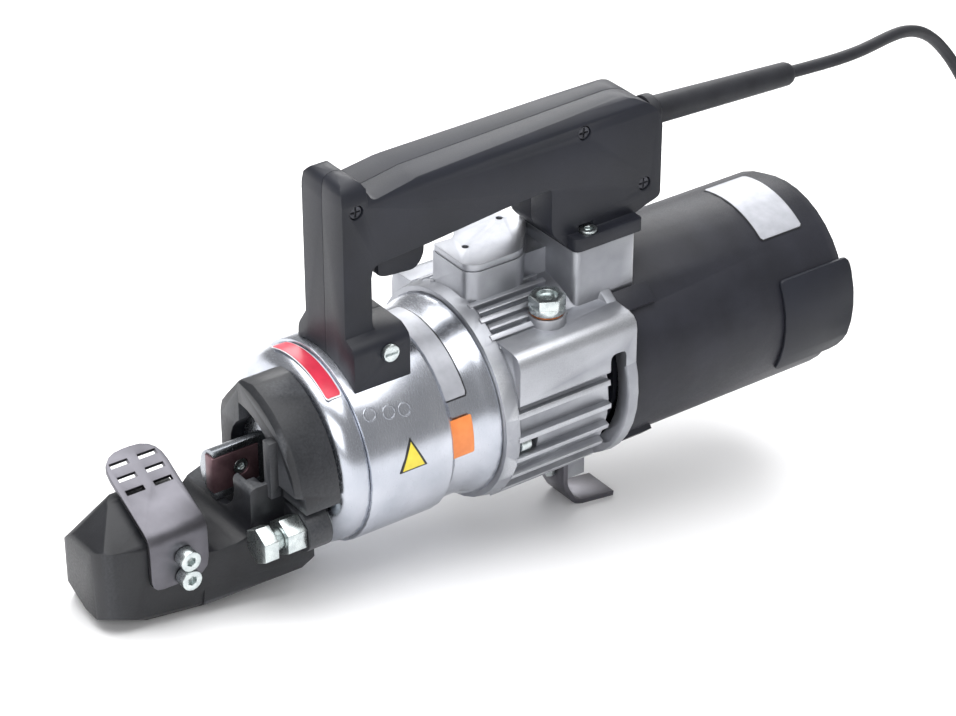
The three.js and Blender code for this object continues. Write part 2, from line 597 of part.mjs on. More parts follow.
function handleBody() {
  const grip = slabY(HANDLE_OUTLINE, HANDLE_Y - GRIP_HALF, HANDLE_Y + GRIP_HALF);
  const rounding = slabX([
    [HANDLE_Y - GRIP_HALF, 30], [HANDLE_Y + GRIP_HALF, 30], [HANDLE_Y + GRIP_HALF, 163, 12],
    [HANDLE_Y - GRIP_HALF, 163, 12],
  ], -329, -120);
  const lobe = slabX([
    [HANDLE_Y - GRIP_HALF, 30], [HANDLE_Y + GRIP_HALF, 30], [HANDLE_Y + GRIP_HALF, 167, 12],
    [HANDLE_Y - GRIP_HALF, 167, 12],
  ], -346, -329);
  const frontFoot = slabX([
    [HANDLE_Y - FOOT_HALF, 36], [HANDLE_Y + FOOT_HALF, 36], [HANDLE_Y + FOOT_HALF, 64, 4],
    [HANDLE_Y + GRIP_HALF, 76], [HANDLE_Y - GRIP_HALF, 76], [HANDLE_Y - FOOT_HALF, 72, 4],
  ], -345, -309);
  const rearFoot = slabZ([
    [-197, HANDLE_Y - FOOT_HALF, 4], [-150, HANDLE_Y - FOOT_HALF, 3], [-150, HANDLE_Y + FOOT_HALF, 3],
    [-197, HANDLE_Y + FOOT_HALF, 4],
  ], 84.2, 92);
  const switchRoom = slabY([
    [-322, 108], [-322, 128], [-306, 128], [-306, 150], [-256, 150], [-256, 128], [-283, 128], [-283, 108],
  ], HANDLE_Y - 9, HANDLE_Y + 9);
  const body = join(grip.intersect(join(rounding, lobe)), frontFoot, rearFoot);
  return cut(
    body, switchRoom, rodX(-350, -300, BARREL_R + GAP, 0, 0, FACETS),
    rodX(-262, -120, 4.3, HANDLE_Y, 141), rodX(-141.5, -120, 9.4, HANDLE_Y, 141),
    rodZ(80, 89, 2.6, -184, -30, 12), rodZ(88.5, 96, 5.6, -184, -30, 16),
    rodZ(80, 89, 2.6, -184, 12.6, 12), rodZ(88.5, 96, 5.6, -184, 12.6, 16),
    ...clampSpots().map(([x, z]) => rodY(-40, 5, 2.3, x, z, 12)),
    ...clampSpots().map(([x, z]) => rodY(-40, HANDLE_Y - GRIP_HALF + 4, 4.3, x, z, 16)),
    ...footScrewSpots().map(([y0, y1]) => rodY(y0, y1, 2.6, -323, 65.5, 12)),
  );
}

function clampSpots() {
  return [[-336, 150], [-186, 152], [-143, 108]];
}

function footScrewSpots() {
  return [[-40, -27], [10, 22]];
}

function clampScrew(x, z) {
  const seat = HANDLE_Y - GRIP_HALF + 4 - GAP;
  const screw = join(rodY(seat - 2.6, seat, 3.8, x, z, 16), rodY(seat - 0.5, 4.5, 1.9, x, z, 12));
  const upright = box(x - 0.5, x + 0.5, seat - 3, seat - 1.4, z - 3, z + 3);
  const level = box(x - 3, x + 3, seat - 3, seat - 1.4, z - 0.5, z + 0.5);
  return cut(screw, upright, level);
}

function frontFootScrew(side) {
  const face = HANDLE_Y + side * (FOOT_HALF + GAP);
  const across = (near, far, radius, sides) => {
    const ends = [face + side * near, face + side * far];
    return rodY(Math.min(...ends), Math.max(...ends), radius, -323, 65.5, sides);
  };
  const slot = face + side * 3;
  const screw = join(across(0, 3, 5, 16), across(-8, 0.5, 2.2, 12));
  return cut(screw, box(-327, -319, slot - 1, slot + 1, 64.8, 66.2));
}

function rearFootScrew(y) {
  const screw = join(rodZ(74, 89.4, 2, -184, y, 12), rodZ(88.9, 93.5, 5.2, -184, y, 16));
  return cut(screw, rodZ(91.5, 94, 2.5, -184, y, 6));
}

function trigger() {
  return slabY([
    [-316, 100, 3], [-311, 98, 2], [-291, 96.5, 4], [-285, 104, 5], [-286, 125, 2], [-315, 125, 4],
  ], HANDLE_Y - 8, HANDLE_Y + 8);
}

function switchBody() {
  return join(box(-303, -258, HANDLE_Y - 8, HANDLE_Y + 8, 131.5, 149), rodZ(130, 132, 3, -290, HANDLE_Y, 12));
}

// The sleeve leaves the handle along x and droops slightly towards its free end.
const SLEEVE_START = [-140.7, 141];
const SLEEVE_END = [-22, 134.9];

function strainRelief() {
  const [x0, z0] = SLEEVE_START;
  const length = Math.hypot(SLEEVE_END[0] - x0, SLEEVE_END[1] - z0);
  const profile = [
    [0, 0], [0, 8], [10, 8], [10, 10.5], [16, 10.5], [18, 8.3], [length - 3, 7.1], [length, 6], [length, 0],
  ];
  const droop = Math.atan2(SLEEVE_END[1] - z0, SLEEVE_END[0] - x0);
  const points = [...profile, profile[0]].map(([x, r]) => new THREE.Vector2(r, x));
  const geometry = new THREE.LatheGeometry(points, 24).rotateZ(-Math.PI / 2);
  const sleeve = solid(geometry.rotateY(-droop).translate(x0, HANDLE_Y, z0));
  return sleeve;
}

// ---- cord, in the standing frame ----
const CORD_ROUTE = [
  [207.9, -8.7, 253.4], [228, -8.7, 255], [248, -8, 256.5], [268, -5, 258], [288, 1, 259], [308, 8, 259],
  [328, 15, 256], [348, 21, 249], [366, 25, 238], [383, 26, 223], [398, 24, 204], [411, 19, 181],
  [421, 12, 155],
  [429, 5, 128], [435, -2, 101], [440, -9, 75], [445, -17, 50], [450, -27, 28], [454, -40, 11],
  [456, -57.4, 3.9],
];

function cordTube() {
  const points = CORD_ROUTE.map((p) => new THREE.Vector3(...p));
  const route = new THREE.CatmullRomCurve3(points, false, 'centripetal');
  const section = new THREE.Shape(Array.from({ length: 8 }, (_, i) => {
    const angle = (i + 0.5) * Math.PI / 4;
    return new THREE.Vector2(CORD_R * Math.cos(angle), CORD_R * Math.sin(angle));
  }));
  return solid(new THREE.ExtrudeGeometry(section, { steps: 28, extrudePath: route, bevelEnabled: false }));
}

function cordCoil() {
  const corners = [[COIL_INNER, 0], [COIL_OUTER, 0], [COIL_OUTER, COIL_TOP], [COIL_INNER, COIL_TOP]];
  const profile = [...corners, corners[0]].map(([r, z]) => new THREE.Vector2(r, z));
  const ring = new THREE.LatheGeometry(profile, 32).rotateX(Math.PI / 2);
  return solid(ring.translate(COIL_CENTRE[0], COIL_CENTRE[1], 0));
}

function coilTie() {
  const [x, y] = COIL_CENTRE;
  const band = box(x - 8, x + 8, y + COIL_INNER - 2.5, y + COIL_OUTER + 2, 0.3, COIL_TOP + 2);
  const ring = rodZ(-1, COIL_TOP + GAP, COIL_OUTER + GAP, x, y, 32);
  return cut(band, cut(ring, rodZ(-2, COIL_TOP + 1, COIL_INNER - GAP, x, y, 32)));
}

function plugBody() {
  const profile = [[0, 0], [0, 5], [6, 6.5], [16, 8], [24, 16], [42, 17], [45, 16], [45, 0], [0, 0]];
  const points = profile.map(([x, r]) => new THREE.Vector2(r, x));
  const geometry = new THREE.LatheGeometry(points, 24).rotateZ(Math.PI / 2);
  const body = solid(geometry.translate(COIL_CENTRE[0] + 20, COIL_CENTRE[1] - 34, COIL_TOP + GAP + 17));
  return join(body, ...pinSpots().map(([y, z]) => rodX(371, 402, 2.4, y, z, 12)));
}

function pinSpots() {
  const [y, z] = [COIL_CENTRE[1] - 34, COIL_TOP + GAP + 17];
  return [[y - 9.5, z], [y + 9.5, z]];
}

// ---- assembly ----
addPart('head_casting', headCasting(), blackIron);
addPart('fixed_blade', fixedBlade(), toolSteel);
addPart('fixed_blade_screw', fixedBladeScrew(), zincSteel);
addPart('ram', bladeHolderRam(), groundSteel);
addPart('moving_blade', movingBlade(), toolSteel);
addPart('moving_blade_screw', movingBladeScrew(), zincSteel);
addPart('piston', piston(), groundSteel);
addPart('piston_seal', ringX(-300, -296, 42.5, 46.2, 0, 0, FACETS), blackRubber);
addPart('guard_plate', guardPlate(), brushedSteel);
[-14, -26.2].forEach((z, i) => {
  addPart(`guard_screw_${i + 1}`, socketScrewY(-455, z, -36.6, 18, 3, 5.9, 7.5), zincSteel);
});
addPart('stopper_bolt', stopperBolt(), zincSteel);
addPart('stopper_lock_nut', stopperNut(), zincSteel);
addPart('front_ring', frontRing(), platedSteel);
addPart('rod_seal', ringX(-360.3, -355.3, ROD_R + GAP, 28, 0, 0, 24), blackRubber);
addPart('cylinder_barrel', cylinderBarrel(), platedSteel);
addPart('return_spring', returnSpring(), groundSteel);
addPart('pump_block', pumpBlock(), groundSteel);
addPart('pump_plunger', plunger(), groundSteel);
addPart('pump_housing', pumpHousing(), castAluminium);
addPart('top_cover', topCover(), castAluminium);
addPart('oil_filler_plug', oilFillerPlug(), zincSteel);
addPart('oil_filler_washer', cut(rodZ(55.3, 56.3, 10, -218, -38), rodZ(55, 57, 6.3, -218, -38, 16)), copper);
flangeScrewSpots().forEach(([y, z], i) => addPart(`flange_screw_${i + 1}`, flangeScrew(y, z), zincSteel));
addPart('foot_bracket', footBracket(), brushedSteel);
addPart('foot_bracket_screw', bracketScrew(), zincSteel);
addPart('eccentric_shaft', eccentricShaft(), groundSteel);
addPart('eccentric_bearing', ballBearing(-200.5, -193.2, 6.3, 9, GEAR_Z), groundSteel);
addPart('armature_shaft', armatureShaft(), groundSteel);
addPart('armature_core', armatureCore(), groundSteel);
addPart('commutator', commutator(), copper);
addPart('cooling_fan', coolingFan(), blackPlastic);
addPart('motor_bearing_front', ballBearing(-201, -191.3, 6.3, 14), groundSteel);
addPart('motor_bearing_rear', ballBearing(-44, -34, 6.3, 13), groundSteel);
addPart('bearing_bridge', bearingBridge(), blackPlastic);
addPart('stator', statorCore(), groundSteel);
[-1, 1].forEach((side) => {
  const label = side < 0 ? 'near' : 'far';
  addPart(`brush_holder_${label}`, brushHolder(side), copper);
  addPart(`brush_cover_${label}`, brushCover(side), blackPlastic);
});
addPart('motor_housing', motorHousing(), blackPlastic);

const handle = handleBody();
addPart('handle_near_half', handle.intersect(box(-400, -100, -60, HANDLE_Y - GAP / 2, 0, 200)), blackPlastic);
addPart('handle_far_half', handle.intersect(box(-400, -100, HANDLE_Y + GAP / 2, 60, 0, 200)), blackPlastic);
clampSpots().forEach(([x, z], i) => addPart(`handle_screw_${i + 1}`, clampScrew(x, z), zincSteel));
addPart('front_foot_screw_near', frontFootScrew(-1), zincSteel);
addPart('front_foot_screw_far', frontFootScrew(1), zincSteel);
addPart('rear_foot_screw_near', rearFootScrew(-30), zincSteel);
addPart('rear_foot_screw_far', rearFootScrew(12.6), zincSteel);
addPart('trigger', trigger(), blackPlastic);
addPart('switch_body', switchBody(), blackPlastic);
addPart('strain_relief', strainRelief(), blackRubber);
addPart('cord_tube', cordTube(), blackRubber, floorItems);
addPart('cord_coil', cordCoil(), blackRubber, floorItems);
addPart('coil_tie', coilTie(), blackRubber, floorItems);
addPart('plug_body', plugBody(), blackRubber, floorItems);

const rebarCutter = new THREE.Group();
rebarCutter.name = 'rebar_cutter';
rebarCutter.add(tool, floorItems);
export default rebarCutter;
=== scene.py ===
# Electro-hydraulic rebar cutter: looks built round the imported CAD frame. Sizes are in millimetres in the
# tool frame (x along the cylinder towards the motor, y away from the stopper side, z up) unless a comment
# says otherwise.
import bpy
import bmesh
import json
import math
from mathutils import Matrix, Vector

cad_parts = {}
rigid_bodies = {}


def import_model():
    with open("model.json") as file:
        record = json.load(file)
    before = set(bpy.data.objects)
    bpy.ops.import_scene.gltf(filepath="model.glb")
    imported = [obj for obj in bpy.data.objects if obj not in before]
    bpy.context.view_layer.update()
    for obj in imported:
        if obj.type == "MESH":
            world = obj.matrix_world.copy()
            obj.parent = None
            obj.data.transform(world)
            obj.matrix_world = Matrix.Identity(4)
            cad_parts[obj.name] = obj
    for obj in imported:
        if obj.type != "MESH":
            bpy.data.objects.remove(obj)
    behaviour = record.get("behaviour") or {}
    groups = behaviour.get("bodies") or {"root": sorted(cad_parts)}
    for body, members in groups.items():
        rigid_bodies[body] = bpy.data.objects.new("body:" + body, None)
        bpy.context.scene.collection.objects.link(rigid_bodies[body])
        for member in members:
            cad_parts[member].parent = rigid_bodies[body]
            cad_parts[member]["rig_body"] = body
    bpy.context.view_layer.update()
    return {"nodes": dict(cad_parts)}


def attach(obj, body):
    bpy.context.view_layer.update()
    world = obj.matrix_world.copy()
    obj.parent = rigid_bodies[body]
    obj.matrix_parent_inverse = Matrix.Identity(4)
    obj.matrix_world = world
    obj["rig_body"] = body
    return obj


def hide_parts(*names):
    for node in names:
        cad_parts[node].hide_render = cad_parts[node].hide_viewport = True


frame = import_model()
nodes = frame["nodes"]

# the tool leans nose down on its foot bracket, and this carries tool millimetres to metres on the floor
stand = {"pitch": 8.0, "shift": (248.126, 0.0, 122.772)}
toolToWorld = (Matrix.Scale(0.001, 4) @ Matrix.Translation(stand["shift"])
               @ Matrix.Rotation(-math.radians(stand["pitch"]), 4, "Y"))
worldToTool = toolToWorld.inverted()

# degrees, millimetres of lens, and tool millimetres
cameraLook = {"azimuth": -35.674, "elevation": 31.184, "lens": 113.6, "place": (-1092.3, -1190.3, 900.1)}


def makeCamera(look):
    turn, tilt = math.radians(look["azimuth"]), math.radians(look["elevation"])
    right = Vector((math.cos(turn), math.sin(turn), 0))
    back = Vector((math.sin(turn) * math.cos(tilt), -math.cos(turn) * math.cos(tilt), math.sin(tilt)))
    axes = Matrix((right, back.cross(right), back)).transposed()
    data = bpy.data.cameras.new("mainCamera")
    data.lens = look["lens"]
    data.sensor_width = 36
    data.clip_end = 20
    camera = bpy.data.objects.new("mainCamera", data)
    bpy.context.scene.collection.objects.link(camera)
    turned = Matrix.Rotation(-math.radians(stand["pitch"]), 3, "Y") @ axes
    camera.matrix_world = Matrix.Translation(toolToWorld @ Vector(look["place"])) @ turned.to_4x4()
    bpy.context.scene.camera = camera


makeCamera(cameraLook)
print("camera placed")


def linear(hexColour):
    # sRGB hex to the linear colour that the shader wants
    parts = [int(hexColour[i:i + 2], 16) / 255 for i in (1, 3, 5)]
    return [c / 12.92 if c <= 0.04045 else ((c + 0.055) / 1.055) ** 2.4 for c in parts] + [1.0]


def addNode(tree, kind, inputs=None, **settings):
    node = tree.nodes.new(kind)
    for key, value in settings.items():
        setattr(node, key, value)
    for key, value in (inputs or {}).items():
        if isinstance(value, bpy.types.NodeSocket):
            tree.links.new(value, node.inputs[key])
        else:
            node.inputs[key].default_value = value
    return node


def setRamp(node, stops):
    ramp = node.color_ramp
    while len(ramp.elements) < len(stops):
        ramp.elements.new(0.5)
    for element, (place, colour) in zip(ramp.elements, stops):
        element.position = place
        element.color = colour
    return node.outputs["Color"]


def smoothFaces(mesh, angle):
    for face in mesh.polygons:
        face.use_smooth = True
    mesh.set_sharp_from_angle(angle=math.radians(angle))


def finishPiece(piece, body, replaced=()):
    for name in replaced:
        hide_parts(name)
    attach(piece, body)
    return piece


def addObject(name, mesh, material):
    piece = bpy.data.objects.new(name, mesh)
    bpy.context.scene.collection.objects.link(piece)
    mesh.materials.clear()
    mesh.materials.append(material)
    return piece


def bakeModifiers(piece):
    # the evaluated shape becomes the plain mesh, and no modifier is left
    depsgraph = bpy.context.evaluated_depsgraph_get()
    mesh = bpy.data.meshes.new_from_object(piece.evaluated_get(depsgraph))
    materials = list(piece.data.materials)
    piece.modifiers.clear()
    piece.data = mesh
    if not mesh.materials:
        for material in materials:
            mesh.materials.append(material)
    return piece


def meshFromTool(name, verts, faces, material):
    # verts are tool millimetres
    mesh = bpy.data.meshes.new(name)
    mesh.from_pydata([toolToWorld @ Vector(v) for v in verts], [], faces)
    work = bmesh.new()
    work.from_mesh(mesh)
    bmesh.ops.remove_doubles(work, verts=work.verts, dist=1e-6)
    bmesh.ops.recalc_face_normals(work, faces=work.faces)
    work.to_mesh(mesh)
    work.free()
    return addObject(name, mesh, material)


def curvedPatch(name, xs, angles, radius, thick, material, rounds=0.0, pointed=False, steps=40):
    # a sticker bent round the tool axis; angles run from the top towards the near side, in degrees
    middle = sum(xs) / 2
    verts, faces = [], []
    rows = 12
    for level in (radius, radius + thick):
        for i in range(steps + 1):
            across = i / steps
            angle = math.radians(angles[0] + (angles[1] - angles[0]) * across)
            arc = abs(math.radians(angles[1] - angles[0])) * radius
            edge = min(across, 1 - across) * arc
            inset = rounds - math.sqrt(max(rounds ** 2 - (rounds - edge) ** 2, 0)) if edge < rounds else 0
            for k in range(rows + 1):
                x = xs[0] + inset + (xs[1] - xs[0] - 2 * inset) * k / rows
                if pointed:
                    x = middle + (x - middle) * max(across, 0.04)
                verts.append((x, -level * math.sin(angle), level * math.cos(angle)))
    width, total = rows + 1, (rows + 1) * (steps + 1)
    for i in range(steps):
        for k in range(rows):
            a = i * width + k
            faces.append((a, a + 1, a + width + 1, a + width))
            faces.append((total + a, total + a + width, total + a + width + 1, total + a + 1))
    rim = ([k for k in range(rows)] + [i * width + rows for i in range(steps)]
           + [steps * width + k for k in range(rows, 0, -1)] + [i * width for i in range(steps, 0, -1)])
    for a, b in zip(rim, rim[1:] + rim[:1]):
        faces.append((a, b, total + b, total + a))
    piece = meshFromTool(name, verts, faces, material)
    smoothFaces(piece.data, 40)
    return piece


# shared by every finish: metres for how far arrises look rounded and how deep the slow swell is
surfaceDetail = {"edgeRadius": 0.0005, "edgeSamples": 4, "swellStrength": 0.35, "swellDepth": 0.0006,
                 "grainDetail": 4.0, "grainRoughness": 0.6, "grainSpread": (0.25, 0.75),
                 "coatRoughness": 0.25}


def makeFinish(name, look):
    # one surface: a colour and a roughness that drift, a fine relief, and rubbed edges where asked
    material = bpy.data.materials.new(name)
    material.use_nodes = True
    tree = material.node_tree
    tree.nodes.clear()
    shader = addNode(tree, "ShaderNodeBsdfPrincipled", {"Metallic": look["metallic"]})
    place = addNode(tree, "ShaderNodeTexCoord").outputs["Object"]
    mapped = addNode(tree, "ShaderNodeMapping", {
        "Vector": place, "Rotation": (0, math.radians(stand["pitch"]), 0),
        "Scale": look.get("stretch", (1, 1, 1))}).outputs["Vector"]
    drift = addNode(tree, "ShaderNodeTexNoise", {
        "Vector": place, "Scale": 1000 / look["driftMm"], "Detail": 3.0})
    colour = setRamp(addNode(tree, "ShaderNodeValToRGB", {"Fac": drift.outputs["Fac"]}),
                     [(0.3, linear(look["dark"])), (0.7, linear(look["light"]))])
    grain = addNode(tree, "ShaderNodeTexNoise", {
        "Vector": mapped, "Scale": 1000 / look["grainMm"], "Detail": surfaceDetail["grainDetail"],
        "Roughness": surfaceDetail["grainRoughness"]})
    if look.get("edge"):
        worn = setRamp(addNode(tree, "ShaderNodeValToRGB",
                               {"Fac": addNode(tree, "ShaderNodeNewGeometry").outputs["Pointiness"]}),
                       [(0.5 + look["edgeFrom"], (0, 0, 0, 1)), (0.56 + look["edgeFrom"], (1, 1, 1, 1))])
        patchy = addNode(tree, "ShaderNodeMath", {0: worn, 1: grain.outputs["Fac"]}, operation="MULTIPLY")
        colour = addNode(tree, "ShaderNodeMix", {
            "Factor": patchy.outputs[0], "A": colour, "B": linear(look["edge"])},
            data_type="RGBA").outputs["Result"]
    tree.links.new(colour, shader.inputs["Base Color"])
    low, high = look["roughness"]
    least, most = surfaceDetail["grainSpread"]
    rough = addNode(tree, "ShaderNodeMapRange", {
        "Value": grain.outputs["Fac"], "From Min": least, "From Max": most, "To Min": low, "To Max": high})
    tree.links.new(rough.outputs["Result"], shader.inputs["Roughness"])
    relief = addNode(tree, "ShaderNodeBump", {"Height": grain.outputs["Fac"], "Strength": look["bump"],
                                              "Distance": look["bumpMm"] / 1000})
    rounded = addNode(tree, "ShaderNodeBevel", {"Radius": surfaceDetail["edgeRadius"]},
                      samples=surfaceDetail["edgeSamples"])
    tree.links.new(rounded.outputs["Normal"], relief.inputs["Normal"])
    normal = relief.outputs["Normal"]
    if look.get("swellMm"):
        swell = addNode(tree, "ShaderNodeTexNoise", {
            "Vector": place, "Scale": 1000 / look["swellMm"], "Detail": 1.0})
        normal = addNode(tree, "ShaderNodeBump", {
            "Height": swell.outputs["Fac"], "Strength": surfaceDetail["swellStrength"],
            "Distance": surfaceDetail["swellDepth"], "Normal": normal}).outputs["Normal"]
    tree.links.new(normal, shader.inputs["Normal"])
    if look.get("coat"):
        shader.inputs["Coat Weight"].default_value = look["coat"]
        shader.inputs["Coat Roughness"].default_value = surfaceDetail["coatRoughness"]
    if look.get("brushed"):
        shader.inputs["Anisotropic"].default_value = look["brushed"]
    if look.get("ior"):
        shader.inputs["IOR"].default_value = look["ior"]
    shader.inputs["Specular IOR Level"].default_value = look.get("shine", 0.5)
    output = addNode(tree, "ShaderNodeOutputMaterial")
    tree.links.new(shader.outputs["BSDF"], output.inputs["Surface"])
    return material


# painted cast steel: satin black with the casting's fine pebble under the paint and greyer rubbed edges
blackCasting = makeFinish("paintedCastSteel", {
    "metallic": 0.0, "dark": "#131418", "light": "#1C1D21", "driftMm": 18, "grainMm": 1.4,
    "roughness": (0.34, 0.5), "bump": 0.35, "bumpMm": 0.25, "edge": "#55575B", "edgeFrom": 0.02,
    "swellMm": 14, "ior": 1.5, "shine": 0.35})
# zinc-nickel plated steel tube: bright, with turning marks round the axis
platedSteel = makeFinish("platedTurnedSteel", {
    "metallic": 1.0, "dark": "#AFB3BC", "light": "#C6C9D1", "driftMm": 30, "grainMm": 2.0,
    "roughness": (0.2, 0.3), "bump": 0.08, "bumpMm": 0.05, "stretch": (14, 0.6, 0.6), "brushed": 0.3})
# sand-blasted cast aluminium with a clear satin finish
castAluminium = makeFinish("castAluminium", {
    "metallic": 0.9, "dark": "#8C8E94", "light": "#A5A7AD", "driftMm": 25, "grainMm": 0.8,
    "roughness": (0.38, 0.52), "bump": 0.3, "bumpMm": 0.12, "edge": "#DADCE0", "edgeFrom": 0.03,
    "swellMm": 20})
# stainless strip with a brushed finish along its length
brushedSteel = makeFinish("brushedStainless", {
    "metallic": 1.0, "dark": "#5A595E", "light": "#6C6B71", "driftMm": 22, "grainMm": 1.6,
    "roughness": (0.32, 0.46), "bump": 0.15, "bumpMm": 0.05, "stretch": (0.5, 9, 9), "brushed": 0.4})
# bright zinc on fasteners: slightly blue, slightly uneven
zincScrew = makeFinish("zincPlatedFastener", {
    "metallic": 1.0, "dark": "#B7BFC0", "light": "#D3DAD9", "driftMm": 5, "grainMm": 0.7,
    "roughness": (0.22, 0.38), "bump": 0.12, "bumpMm": 0.05})
# chemically blackened screws: near black with a thin metal glint
blackOxide = makeFinish("blackOxideFastener", {
    "metallic": 0.8, "dark": "#3A3B40", "light": "#4A4B51", "driftMm": 4, "grainMm": 0.7,
    "roughness": (0.3, 0.45), "bump": 0.12, "bumpMm": 0.05})
# heat treated tool steel: reddish brown temper colour
bladeSteel = makeFinish("temperedToolSteel", {
    "metallic": 0.75, "dark": "#5C444A", "light": "#7A6065", "driftMm": 9, "grainMm": 0.9,
    "roughness": (0.35, 0.5), "bump": 0.15, "bumpMm": 0.06})
# ground and hardened steel: clean and bright, with fine wheel marks
groundSteel = makeFinish("groundSteel", {
    "metallic": 1.0, "dark": "#8F9399", "light": "#A5A9AF", "driftMm": 15, "grainMm": 1.2,
    "roughness": (0.22, 0.34), "bump": 0.1, "bumpMm": 0.04, "stretch": (8, 1, 1)})
# glass-filled nylon with a fine eroded mould texture
blackNylon = makeFinish("mouldedNylon", {
    "metallic": 0.0, "dark": "#171920", "light": "#1F212A", "shine": 0.35, "driftMm": 40,
    "grainMm": 0.55, "roughness": (0.42, 0.56), "bump": 0.28, "bumpMm": 0.1, "ior": 1.5, "swellMm": 35})
# the motor shell is the same resin with a coarser, more open texture
motorNylon = makeFinish("mouldedMotorShell", {
    "metallic": 0.0, "dark": "#1C1D24", "light": "#26272F", "shine": 0.35, "driftMm": 26,
    "grainMm": 0.7, "roughness": (0.4, 0.6), "bump": 0.4, "bumpMm": 0.12, "ior": 1.5, "swellMm": 9})
# neoprene rubber: dark and matt, with a fine dull grain
blackRubber = makeFinish("neopreneRubber", {
    "metallic": 0.0, "dark": "#1C1D22", "light": "#27282D", "shine": 0.35, "driftMm": 12,
    "grainMm": 0.5, "roughness": (0.5, 0.65), "bump": 0.2, "bumpMm": 0.05, "ior": 1.5})
# copper: warm and half polished, on the sealing washer and the commutator
copper = makeFinish("copper", {
    "metallic": 1.0, "dark": "#9A5B35", "light": "#B87348", "driftMm": 6, "grainMm": 0.8,
    "roughness": (0.25, 0.4), "bump": 0.1, "bumpMm": 0.03})
# red printed film: smooth, with a thin clear coat
redFilm = makeFinish("redPrintedFilm", {
    "metallic": 0.0, "dark": "#C22A42", "light": "#D3344D", "driftMm": 8, "grainMm": 0.5,
    "roughness": (0.3, 0.38), "bump": 0.03, "bumpMm": 0.02, "coat": 0.3})
# white printed film under a thin clear coat
whiteFilm = makeFinish("whitePrintedFilm", {
    "metallic": 0.0, "dark": "#DCDDE0", "light": "#E8E9EC", "driftMm": 10, "grainMm": 0.6,
    "roughness": (0.3, 0.4), "bump": 0.03, "bumpMm": 0.02, "coat": 0.25})
# silvered film: slightly metallic and satin
silverFilm = makeFinish("silverPrintedFilm", {
    "metallic": 0.35, "dark": "#A3A5AC", "light": "#B2B4BB", "driftMm": 7, "grainMm": 0.4,
    "roughness": (0.35, 0.45), "bump": 0.04, "bumpMm": 0.02})
# black printed film: smooth, for borders
blackFilm = makeFinish("blackPrintedFilm", {
    "metallic": 0.0, "dark": "#1B1B1E", "light": "#232327", "driftMm": 8, "grainMm": 0.6,
    "roughness": (0.28, 0.36), "bump": 0.03, "bumpMm": 0.02})
# yellow printed film: smooth and even
yellowFilm = makeFinish("yellowPrintedFilm", {
    "metallic": 0.0, "dark": "#D9C63A", "light": "#E6D548", "driftMm": 8, "grainMm": 0.6,
    "roughness": (0.3, 0.38), "bump": 0.03, "bumpMm": 0.02})
# orange printed film: smooth and even
orangeFilm = makeFinish("orangePrintedFilm", {
    "metallic": 0.0, "dark": "#D9793A", "light": "#E58A49", "driftMm": 6, "grainMm": 0.6,
    "roughness": (0.3, 0.38), "bump": 0.03, "bumpMm": 0.02})
print("materials ready")


cordLook = {"thick": 7.5, "coilCentre": (415, -95), "innerMid": 33.5, "outerMid": 48.8, "layer": 7.6,
            "turnsPerLayer": 2, "climbAngle": 120, "pointsPerTurn": 24, "floorMid": 3.8, "lastTurnShort": 25,
            "riseAngle": 60, "riseLayers": 3.1, "plugZ": 39.8, "plugTurn": (430, -94.5, 34.5),
            "plugFrom": 80, "plugSweep": 165, "plugStep": 15, "plugEnd": (435.2, -129)}
# floor frame millimetres, the same route as the solids
cordRoute = [
    (207.9, -8.7, 253.4), (228, -8.7, 255), (248, -8, 256.5), (268, -5, 258), (288, 1, 259), (308, 8, 259),
    (328, 15, 256), (348, 21, 249), (366, 25, 238), (383, 26, 223), (398, 24, 204), (411, 19, 181),
    (421, 12, 155), (429, 5, 128), (435, -2, 101), (440, -9, 75), (445, -17, 50), (450, -27, 28),
    (454, -40, 11), (456, -57.4, 3.9), (458.4, -67, 3.8), (461, -78, 3.8),
]


def coilPoints(look):
    # three layers wound in, out and in again, then up to the plug that lies on top
    points = []
    cx, cy = look["coilCentre"]
    inner, outer, lift = look["innerMid"], look["outerMid"], look["layer"]
    turns, climb = look["turnsPerLayer"] * 360, look["climbAngle"]
    step = 360 / look["pointsPerTurn"]

    def put(angle, r, z):
        points.append((cx + r * math.cos(math.radians(angle)), cy - r * math.sin(math.radians(angle)), z))

    def ease(t):
        return t * t * (3 - 2 * t)

    swept, low = 0.0, look["floorMid"]
    rise = look["riseLayers"]
    stages = [(turns, outer, inner, 0, 0), (climb, inner, inner, 0, 1), (turns, inner, outer, 1, 1),
              (climb, outer, outer, 1, 2), (turns - look["lastTurnShort"], outer, inner, 2, 2),
              (look["riseAngle"], inner, inner, 2, rise)]
    for sweep, r0, r1, z0, z1 in stages:
        count = round(sweep / step)
        for k in range(count):
            t = k / count
            put(swept + sweep * t, r0 + (r1 - r0) * t, low + lift * (z0 + (z1 - z0) * ease(t)))
        swept += sweep
    ax, ay, reach = look["plugTurn"]
    top = low + lift * rise
    start, sweep = look["plugFrom"], look["plugSweep"]
    for angle in range(start, start - sweep - 1, -look["plugStep"]):
        t = (start - angle) / sweep
        points.append((ax + reach * math.cos(math.radians(angle)), ay + reach * math.sin(math.radians(angle)),
                       top + (look["plugZ"] - top) * ease(t)))
    points.append((*look["plugEnd"], look["plugZ"]))
    return points


def cordCurve(points, name, thick, material):
    data = bpy.data.curves.new(name, "CURVE")
    data.dimensions = "3D"
    data.bevel_depth = thick / 2000
    data.bevel_resolution = 4
    data.resolution_u = 4
    data.use_fill_caps = True
    spline = data.splines.new("NURBS")
    spline.points.add(len(points) - 1)
    for target, p in zip(spline.points, points):
        target.co = (p[0] / 1000, p[1] / 1000, p[2] / 1000, 1)
    spline.order_u = 4
    spline.use_endpoint_u = True
    piece = bpy.data.objects.new(name, data)
    bpy.context.scene.collection.objects.link(piece)
    data.materials.append(material)
    return piece


